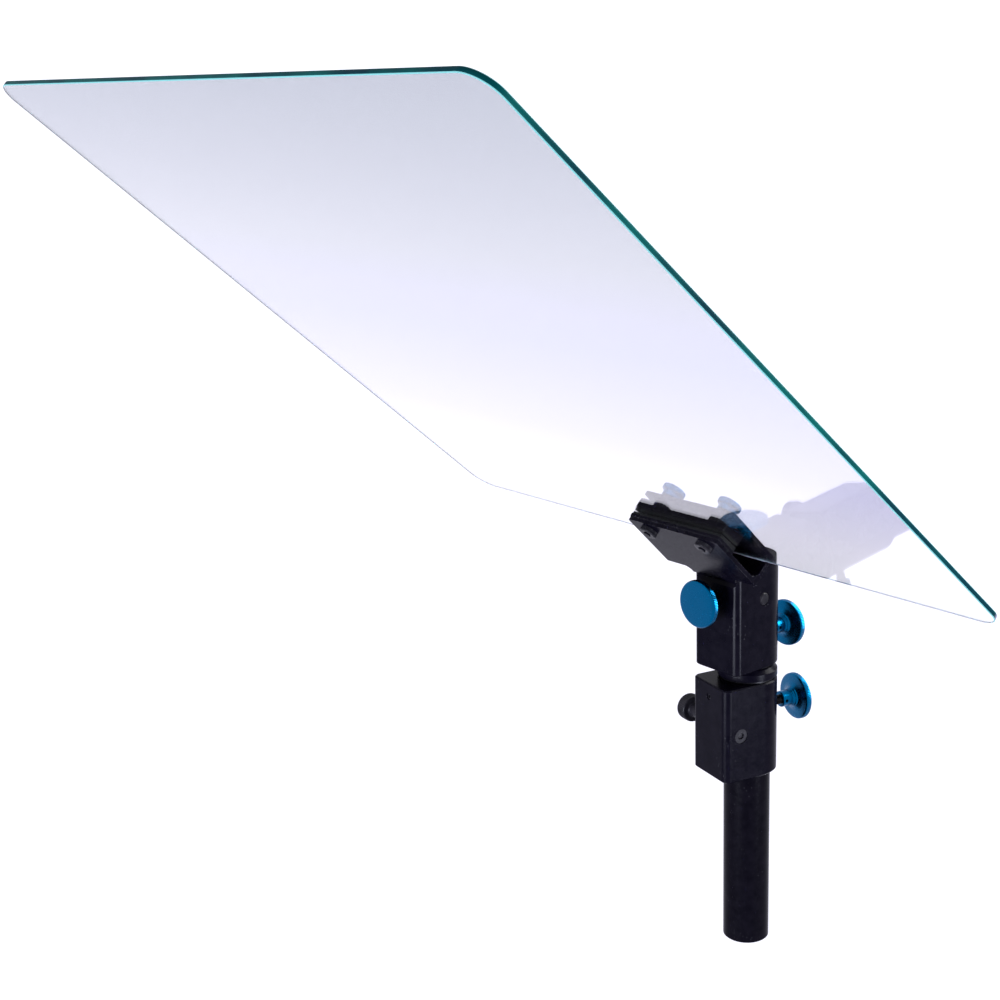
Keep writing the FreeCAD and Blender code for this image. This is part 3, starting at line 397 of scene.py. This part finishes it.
def broken_edges(node, width=0.3, segments=3, angle=28):
    """A copy of a CAD node with its sharp edges broken, as a machined piece has them.

    width is in mm and angle in degrees."""
    mesh = NODES[node].data.copy()
    stored_normals = mesh.attributes.get("custom_normal")
    if stored_normals is not None:
        mesh.attributes.remove(stored_normals)
    work = bmesh.new()
    work.from_mesh(mesh)
    bmesh.ops.remove_doubles(work, verts=work.verts, dist=MERGE_DISTANCE)
    bmesh.ops.dissolve_limit(work, angle_limit=math.radians(FLAT_ANGLE), verts=work.verts,
                             edges=work.edges)
    work.to_mesh(mesh)
    work.free()
    piece = link(node + "_finish", mesh, Matrix.Identity(4), MATERIALS[SLOT_OF[node]])
    bevel = piece.modifiers.new("edges", "BEVEL")
    # The bevels of the black pieces take a second, lighter material: painted highlight along the
    # edges
    if SLOT_OF[node] in EDGE_SLOTS and node not in PLAIN_EDGED:
        mesh.materials.append(BRIGHT_HIGHLIGHT_EDGE if node in BRIGHT_HIGHLIGHT_EDGED else FAINT_HIGHLIGHT_EDGE)
        bevel.material = 1
    bevel.width = width * MM
    bevel.segments = segments
    bevel.limit_method = "ANGLE"
    bevel.angle_limit = math.radians(angle)
    bevel.use_clamp_overlap = True
    apply_modifiers(piece)
    smooth(piece.data)
    even_normals(piece)
    return settle(piece, node)


def axis_place(joint_name):
    """Local frame of a screw: origin on the joint, Z outwards along its axis, X level."""
    joint = JOINTS[joint_name]
    outward = Vector(joint["axis"]).normalized()
    side = outward.cross(Vector((0, 0, 1))).normalized()
    up = outward.cross(side)
    place = Matrix((side, up, outward)).transposed().to_4x4()
    place.translation = Vector(joint["pos_m"])
    return place


def local_points(node, place):
    """The corners of a CAD node in a local frame, in mm."""
    inverse = place.inverted()
    return [inverse @ vertex.co / MM for vertex in NODES[node].data.vertices]


def turned_size(node, place):
    """(lowest, highest, radius) of a turned CAD node in its local frame, in mm."""
    points = local_points(node, place)
    heights = [point.z for point in points]
    radius = max(math.hypot(point.x, point.y) for point in points)
    return min(heights), max(heights), radius


def softened(corners, steps=4):
    """A closed outline of (height, radius, rounding) with its corners rounded."""
    longest_share = 0.45  # of a side that one rounding may take
    shortest = 1e-4
    outline = []
    count = len(corners)
    for index, (height, radius, rounding) in enumerate(corners):
        here = Vector((height, radius))
        before = Vector(corners[index - 1][:2]) - here
        after = Vector(corners[(index + 1) % count][:2]) - here
        reach = min(rounding, before.length * longest_share, after.length * longest_share)
        if reach < shortest:
            outline.append(here)
            continue
        start = here + before.normalized() * reach
        end = here + after.normalized() * reach
        for step in range(steps + 1):
            t = step / steps
            outline.append(start * (1 - t) ** 2 + here * 2 * t * (1 - t) + end * t ** 2)
    return outline


def turned_mesh(name, corners, steps, ripple=None):
    """A turned solid from a closed outline of (height, radius, rounding) in mm.

    ripple(angle, height, radius) gives the radius where a rim is knurled."""
    on_axis = 1e-6
    work = bmesh.new()
    rings = []
    for point in softened(corners):
        if point.y < on_axis:
            rings.append([work.verts.new((0, 0, point.x * MM))])
            continue
        ring = []
        for step in range(steps):
            angle = 2 * math.pi * step / steps
            radius = ripple(angle, point.x, point.y) if ripple else point.y
            spot = (radius * math.cos(angle), radius * math.sin(angle), point.x)
            ring.append(work.verts.new([value * MM for value in spot]))
        rings.append(ring)
    for index, ring in enumerate(rings):
        join_rings(work, ring, rings[(index + 1) % len(rings)])
    bmesh.ops.recalc_face_normals(work, faces=work.faces)
    return mesh_from(work, name)


def join_rings(work, first, second):
    """Faces between two rings of corners, either of which may be a single point."""
    if len(first) == 1 and len(second) == 1:
        return
    steps = max(len(first), len(second))
    for step in range(steps):
        following = (step + 1) % steps
        if len(first) == 1:
            work.faces.new((first[0], second[following], second[step]))
        elif len(second) == 1:
            work.faces.new((first[step], first[following], second[0]))
        else:
            work.faces.new((first[step], first[following], second[following], second[step]))


def straight_knurl(count, depth, start, end):
    """Ridges along the axis between two heights, fading out over their ends."""
    fade = 0.5
    at_ends = 0.4

    def ripple(angle, height, radius):
        inside = min(height - start, end - height)
        strength = max(0.0, min(1.0, inside / fade + at_ends))
        wave = abs(((angle * count / (2 * math.pi)) % 1.0) * 2 - 1)
        return radius - depth * strength * (1 - wave) if radius > 0 else radius

    return ripple


def knurl_on_rim(count, depth, start, end, rim):
    """The same ridges, kept to what lies close to the rim's radius."""
    close = 0.75
    ridges = straight_knurl(count, depth, start, end)

    def ripple(angle, height, radius):
        return ridges(angle, height, radius) if radius > rim - close else radius

    return ripple


def threaded_mesh(name, low, high, radius, pitch):
    """A rod along local Z with a helical thread and bevelled ends, in mm."""
    turn_steps = 40
    rows_per_pitch = 8
    flat = 0.12  # share of the pitch that is flat at the root, and again at the crest
    rows = int((high - low) / pitch * rows_per_pitch)
    depth = 0.6 * pitch
    work = bmesh.new()
    rings = [[work.verts.new((0, 0, low * MM))]]
    for row in range(rows + 1):
        height = low + (high - low) * row / rows
        from_end = min(height - low, high - height)
        limit = radius - max(0.0, depth - from_end)
        ring = []
        for step in range(turn_steps):
            phase = (height / pitch - step / turn_steps) % 1.0
            crest = max(0.0, min(1.0, (abs(2 * phase - 1) - flat) / (1 - 2 * flat)))
            reach = min(limit, radius - depth * (1 - crest)) * MM
            angle = 2 * math.pi * step / turn_steps
            spot = (reach * math.cos(angle), reach * math.sin(angle), height * MM)
            ring.append(work.verts.new(spot))
        rings.append(ring)
    rings.append([work.verts.new((0, 0, high * MM))])
    for first, second in zip(rings, rings[1:]):
        join_rings(work, first, second)
    bmesh.ops.recalc_face_normals(work, faces=work.faces)
    mesh = mesh_from(work, name)
    smooth(mesh, THREADED_ANGLE)
    return mesh


def bored(piece, place, radius, length):
    """Cuts a round hole through a piece, along local Z of place (radius and length in mm)."""
    drill_steps = 32
    corners = [(-length / 2, 0, 0), (-length / 2, radius, 0), (length / 2, radius, 0),
               (length / 2, 0, 0)]
    mesh = turned_mesh("drill", corners, drill_steps)
    drill = bpy.data.objects.new("drill", mesh)
    drill.matrix_world = place
    bpy.context.scene.collection.objects.link(drill)
    cut = piece.modifiers.new("hole", "BOOLEAN")
    cut.operation = "DIFFERENCE"
    cut.solver = "EXACT"
    cut.object = drill
    bpy.context.view_layer.update()
    apply_modifiers(piece)
    bpy.data.objects.remove(drill)
    bpy.data.meshes.remove(mesh)


# ---------------------------------------------------------------- knobs and studs
#
# All sizes here are in mm, and outlines hold (height, radius, rounding).

LOCKS = ("tilt", "pan", "spigot")
LOCK_RIDGES = 96
FINE_STEPS = 6  # points round a ridge of fine knurling
COARSE_STEPS = 8


def make_lock_knob(lock):
    """Turned blue knob: knurled rim, stepped cone behind it and a cross-drilled hub."""
    node = lock + "_knob"
    place = axis_place(lock + "_lock_turn")
    hub_end, face, rim = turned_size(node, place)
    rim_width = 4.1
    back = face - rim_width
    hub = 5.0
    hole = 2.9
    ridge_depth = 0.16
    cross_hole = 1.05
    cross_hole_from_end = 2.1
    drill_length = 14
    corners = [
        (hub_end, hole, 0), (hub_end, hub - 0.4, 0.3), (hub_end + 0.4, hub, 0.4),
        (back - 3.6, hub, 0.5), (back - 3.2, hub + 0.5, 0.2), (back - 2.4, hub + 0.6, 0.2),
        (back - 2.0, hub + 1.2, 0.2), (back - 1.3, hub + 1.4, 0.2), (back - 0.9, hub + 2.3, 0.3),
        (back - 0.3, hub + 4.2, 1.2), (back, rim - 1.1, 0.5), (back + 0.5, rim, 0.5),
        (face - 0.9, rim, 0.6), (face - 0.1, rim - 0.9, 0.7), (face, hole + 2.0, 1.0),
        (face, 0, 0), (face - 0.6, 0, 0), (face - 0.6, hole, 0),
    ]
    ripple = knurl_on_rim(LOCK_RIDGES, ridge_depth, back + 0.5, face - 0.9, rim)
    mesh = turned_mesh(node, corners, LOCK_RIDGES * FINE_STEPS, ripple)
    piece = link(node + "_turned", mesh, place, MATERIALS["blue_anodised"])
    middle = Matrix.Translation((0, 0, (hub_end + cross_hole_from_end) * MM))
    across = place @ middle @ Matrix.Rotation(math.radians(90), 4, "Y")
    bored(piece, across, cross_hole, drill_length)
    smooth(piece.data, KNURLED_ANGLE)
    settle(piece, node)


STUD_PITCH = 1.0


def make_stud(node, joint_name):
    """Threaded steel rod on the axis of a screw joint."""
    place = axis_place(joint_name)
    low, high, radius = turned_size(node, place)
    mesh = threaded_mesh(node, low, high, radius, STUD_PITCH)
    settle(link(node + "_threaded", mesh, place, MATERIALS["zinc_steel"]), node)


CLAMP_RIDGES = 56


def make_clamp_knob(side):
    """Thumbscrew head of the glass clamp: knurled rim over a plain hub."""
    node = "clamp_knob_" + side
    place = axis_place("clamp_screw_%s_turn" % side)
    low, face, rim = turned_size(node, place)
    rim_width = 3.2
    back = face - rim_width
    hub = 5.5
    hole = 2.9
    ridge_depth = 0.2
    corners = [
        (low, hole, 0), (low, hub - 0.3, 0.2), (low + 0.3, hub, 0.3), (back - 0.6, hub, 0.5),
        (back, hub + 0.6, 0.3), (back, rim - 0.5, 0.3), (back + 0.5, rim, 0.3),
        (face - 0.5, rim, 0.3), (face, rim - 0.5, 0.4), (face, 0, 0), (face - 0.5, 0, 0),
        (face - 0.5, hole, 0),
    ]
    ripple = knurl_on_rim(CLAMP_RIDGES, ridge_depth, back + 0.5, face - 0.5, rim)
    mesh = turned_mesh(node, corners, CLAMP_RIDGES * FINE_STEPS, ripple)
    smooth(mesh, KNURLED_ANGLE)
    settle(link(node + "_turned", mesh, place, MATERIALS["blue_anodised"]), node)


COTTER_RIDGES = 40


def make_cotter_screw():
    """Black knurled draw-bolt knob with its neck and slim shank, drawn without its thread."""
    node = "cotter_screw"
    place = axis_place("cotter_turn")
    tip, face, rim = turned_size(node, place)
    rim_width = 8.0
    back = face - rim_width
    neck = 4.5
    shoulder = 1.5
    shank = 1.95
    ridge_depth = 0.42
    corners = [
        (tip, 0, 0), (tip, shank - 0.4, 0.1), (tip + 0.4, shank, 0.1), (shoulder, shank, 0),
        (shoulder, neck - 0.2, 0.2), (shoulder + 0.4, neck, 0.3), (back - 0.6, neck, 0.4),
        (back, neck + 0.8, 0.4), (back, rim - 0.8, 0.4), (back + 0.8, rim, 0.4),
        (face - 0.8, rim, 0.4), (face, rim - 0.9, 0.5), (face, rim - 2.2, 0.2),
        (face - 0.35, rim - 2.6, 0.3), (face - 0.35, 0, 0),
    ]
    ripple = knurl_on_rim(COTTER_RIDGES, ridge_depth, back + 0.8, face - 0.8, rim)
    mesh = turned_mesh(node, corners, COTTER_RIDGES * COARSE_STEPS, ripple)
    smooth(mesh, KNURLED_ANGLE)
    settle(link(node + "_knurled", mesh, place, MATERIALS["black_oxide_steel"]), node)


NUT_RIDGES = 30


def make_jaw_nuts():
    """Two round knurled nuts under the clamp head, in one piece as in the CAD node."""
    node = "lower_jaw_nuts"
    bore = 2.0
    ridge_depth = 0.3
    own_reach = 10  # each nut lies within this of its own screw's axis
    merged = bmesh.new()
    outward = Vector((0, -math.cos(ARM_ANGLE), -math.sin(ARM_ANGLE)))
    for side in ("left", "right"):
        joint = JOINTS["clamp_screw_%s_turn" % side]
        across = Vector((1, 0, 0))
        up = outward.cross(across)
        place = Matrix((across, up, outward)).transposed().to_4x4()
        place.translation = Vector(joint["pos_m"])
        points = local_points(node, place)
        near = [point for point in points if math.hypot(point.x, point.y) < own_reach]
        low = min(point.z for point in near)
        high = max(point.z for point in near)
        rim = max(math.hypot(point.x, point.y) for point in near)
        corners = [
            (low, bore, 0), (low, rim - 0.3, 0.2), (low + 0.3, rim, 0.2), (high - 0.5, rim, 0.3),
            (high, rim - 0.6, 0.3), (high, bore + 0.6, 0.2), (high - 0.4, bore, 0.1),
        ]
        ripple = knurl_on_rim(NUT_RIDGES, ridge_depth, low + 0.3, high - 0.5, rim)
        mesh = turned_mesh(node, corners, NUT_RIDGES * COARSE_STEPS, ripple)
        mesh.transform(place)
        merged.from_mesh(mesh)
        bpy.data.meshes.remove(mesh)
    mesh = mesh_from(merged, node)
    smooth(mesh, KNURLED_ANGLE)
    piece = link(node + "_knurled", mesh, Matrix.Identity(4), MATERIALS["black_oxide_steel"])
    settle(piece, node)


# ---------------------------------------------------------------- glass

CORNER_RADIUS = 14.0
CORNER_STEPS = 28
# (depth below the face, how far the outline is drawn in there), from face to edge, in mm
ARRIS = [(0.0, 0.42), (0.1, 0.24), (0.24, 0.09), (0.42, 0.0)]
EDGE_BAND = 0.5  # mm each side of mid-thickness: the edge itself, between the bevels


def rounded_outline(half_width, length, radius, inset, corner_steps):
    """Points round a rectangle with round corners, each moved inwards by inset."""
    points = []
    centres = [
        (half_width - radius, length - radius, 0), (-half_width + radius, length - radius, 90),
        (-half_width + radius, radius, 180), (half_width - radius, radius, 270),
    ]
    for across, along, start in centres:
        for step in range(corner_steps + 1):
            angle = math.radians(start + 90 * step / corner_steps)
            reach = radius - inset
            points.append((across + reach * math.cos(angle), along + reach * math.sin(angle)))
    return points


def make_glass():
    """The pane: flat polished faces, ground round corners and broken long edges."""
    node = "glass_pane"
    turn = Matrix.Rotation(GLASS_ANGLE, 4, "X")
    points = local_points(node, turn)
    low = Vector([min(point[axis] for point in points) for axis in range(3)])
    high = Vector([max(point[axis] for point in points) for axis in range(3)])
    middle = (low.x + high.x) / 2
    place = turn @ Matrix.Translation(Vector((middle, low.y, low.z)) * MM)
    half_width = (high.x - low.x) / 2
    thickness = high.y - low.y
    length = high.z - low.z
    levels = ARRIS + [(thickness - level, inset) for level, inset in reversed(ARRIS)]
    work = bmesh.new()
    rings = []
    for level, inset in levels:
        outline = rounded_outline(half_width, length, CORNER_RADIUS, inset, CORNER_STEPS)
        rings.append([work.verts.new((x * MM, level * MM, z * MM)) for x, z in outline])
    for first, second in zip(rings, rings[1:]):
        join_rings(work, first, second)
    faces = [work.faces.new(rings[0]), work.faces.new(rings[-1])]
    bmesh.ops.recalc_face_normals(work, faces=work.faces)
    for face in work.faces:
        face.smooth = face not in faces
    for face in faces:
        for edge in face.edges:
            edge.smooth = False
    mesh = mesh_from(work, node)
    piece = link("glass_pane_polished", mesh, place, pane_glass("beam_splitter_glass", length * MM))
    mesh.materials.append(glass_rim("glass_rim"))
    mesh.materials.append(frosted_arris("glass_arris"))
    for polygon in mesh.polygons:
        if len(polygon.vertices) == 4:
            on_edge = abs(polygon.center.y - thickness * MM / 2) < EDGE_BAND * MM
            polygon.material_index = 1 if on_edge else 2
    settle(piece, node)


# ---------------------------------------------------------------- assemble

for lock_name in LOCKS:
    make_lock_knob(lock_name)
    make_stud(lock_name + "_stud", lock_name + "_lock_turn")
for side_name in ("left", "right"):
    make_clamp_knob(side_name)
    make_stud("clamp_stud_" + side_name, "clamp_screw_%s_turn" % side_name)
make_cotter_screw()
make_jaw_nuts()
make_glass()

# CAD nodes shown as themselves, with the width of their broken edges in mm
MACHINED = {
    "lower_block": 0.35, "upper_block": 0.35, "spigot": 0.3, "tilt_tongue": 0.3,
    "clamp_channel": 0.3, "lower_jaw": 0.3, "upper_jaw": 0.3, "pole_tube": 0.25,
    "pivot_bolt": 0.25, "cotter_washer": 0.15, "cotter_barrel_left": 0.2,
    "cotter_barrel_right": 0.2, "anti_lift_screw": 0.1, "tongue_screws": 0.2,
    "clamp_thread_bushes": 0.15, "pole_bushing": 0.2, "lower_thrust_washer": 0.2,
    "upper_thrust_washer": 0.2, "tilt_washer_left": 0.15, "tilt_washer_right": 0.15,
    "lower_jaw_pad": 0.15, "upper_jaw_pad": 0.15, "tilt_tip": 0.15, "pan_tip": 0.15,
    "spigot_tip": 0.15,
}
for node_name, edge_width in MACHINED.items():
    broken_edges(node_name, edge_width)


# ---------------------------------------------------------------- stage, light, camera

FLOOR_LEVEL = -0.35
FLOOR_RADIUS = 300.0  # wide, so that its rim never shows in the glass
WORLD_STRENGTH = 1.25
WORLD_COLOUR = (0.98, 0.97, 1.08, 1.0)


def make_floor():
    """Plain pale floor under the whole scene."""
    material, tree, shader = new_material("pale_floor")
    place = object_coordinates(tree)
    clouds = noise(tree, place, 3.0)
    colour = mix_colours(tree, clouds, (0.95, 0.95, 0.975), (0.965, 0.965, 0.985))
    tree.links.new(colour, shader.inputs["Base Color"])
    shader.inputs["Roughness"].default_value = 0.9
    shader.inputs["Specular IOR Level"].default_value = 0.0
    work = bmesh.new()
    bmesh.ops.create_circle(work, cap_ends=True, segments=96, radius=FLOOR_RADIUS)
    mesh = mesh_from(work, "floor")
    floor = link("floor", mesh, Matrix.Translation((0, 0, FLOOR_LEVEL)), material)
    return floor


def make_world():
    """Even studio surroundings."""
    world = bpy.data.worlds.new("studio")
    world.use_nodes = True
    background = world.node_tree.nodes["Background"]
    background.inputs["Color"].default_value = WORLD_COLOUR
    background.inputs["Strength"].default_value = WORLD_STRENGTH
    bpy.context.scene.world = world


COOL = (0.8, 0.84, 1.0)
NEUTRAL = (1.0, 1.0, 1.0)

# name, azimuth in degrees, distance, height, size, power, colour and the point it faces
# STRIPS pass over the floor and the blue pieces, SOFTBOXES over the floor only
STRIPS = [
    ("strip_front", -87, 1.5, -0.1, (0.85, 0.48), 96, COOL, (0, 0, 0.05)),
    ("strip_side", 8, 1.5, -0.1, (0.5, 0.48), 58, COOL, (0, 0, 0.05)),
]
SOFTBOXES = [
    ("rim", 60, 1.3, 0.8, (0.9, 1.1), 64, NEUTRAL, (0, 0, 0.2)),
    ("overhead", -60, 0.5, 1.9, (1.4, 1.4), 6, NEUTRAL, (0, 0, 0.2)),
]


def passed_over(pieces):
    """A collection of the pieces that a light leaves out."""
    collection = bpy.data.collections.new("passed_over")
    for index, piece in enumerate(pieces):
        collection.objects.link(piece)
        collection.collection_objects[index].light_linking.link_state = "EXCLUDE"
    return collection


def make_softbox(name, azimuth, distance, height, size, power, colour, aim, unlit):
    """A rectangular soft light at an azimuth (degrees from +X), facing the head.

    unlit is a collection the light passes over."""
    light = bpy.data.lights.new(name, "AREA")
    light.shape = "RECTANGLE"
    light.size = size[0]
    light.size_y = size[1]
    light.energy = power
    light.color = colour
    lamp = bpy.data.objects.new(name, light)
    angle = math.radians(azimuth)
    lamp.location = (distance * math.cos(angle), distance * math.sin(angle), height)
    facing = Vector(aim) - lamp.location
    lamp.rotation_euler = facing.to_track_quat("-Z", "Y").to_euler()
    lamp.visible_camera = False
    lamp.visible_transmission = False
    lamp.light_linking.receiver_collection = unlit
    bpy.context.scene.collection.objects.link(lamp)


def make_camera():
    """Looks down from the front right, as a person standing beside the glass."""
    azimuth = math.radians(51.957)
    pitch = math.radians(14.659)
    roll = math.radians(-1.877)
    stand = Vector((0.66093, -0.70488, 0.54028))
    forward = Vector((-math.sin(azimuth) * math.cos(pitch), math.cos(azimuth) * math.cos(pitch),
                      -math.sin(pitch)))
    right = Vector((math.cos(azimuth), math.sin(azimuth), 0))
    down = forward.cross(right)
    rolled_right = right * math.cos(roll) - down * math.sin(roll)
    rolled_down = right * math.sin(roll) + down * math.cos(roll)
    camera_data = bpy.data.cameras.new("camera")
    camera_data.sensor_width = 36.0
    camera_data.lens = 59.75
    camera_data.clip_end = 1000.0
    camera = bpy.data.objects.new("camera", camera_data)
    place = Matrix((rolled_right, -rolled_down, -forward)).transposed().to_4x4()
    place.translation = stand
    camera.matrix_world = place
    bpy.context.scene.collection.objects.link(camera)
    bpy.context.scene.camera = camera


FLOOR = make_floor()
BLUE_PIECES = [piece for piece in bpy.data.objects
               if MATERIALS["blue_anodised"].name in piece.material_slots]
make_world()
for strip in STRIPS:
    make_softbox(*strip, passed_over([FLOOR, *BLUE_PIECES]))
for softbox in SOFTBOXES:
    make_softbox(*softbox, passed_over([FLOOR]))
make_camera()
bpy.context.scene.view_settings.view_transform = "Standard"
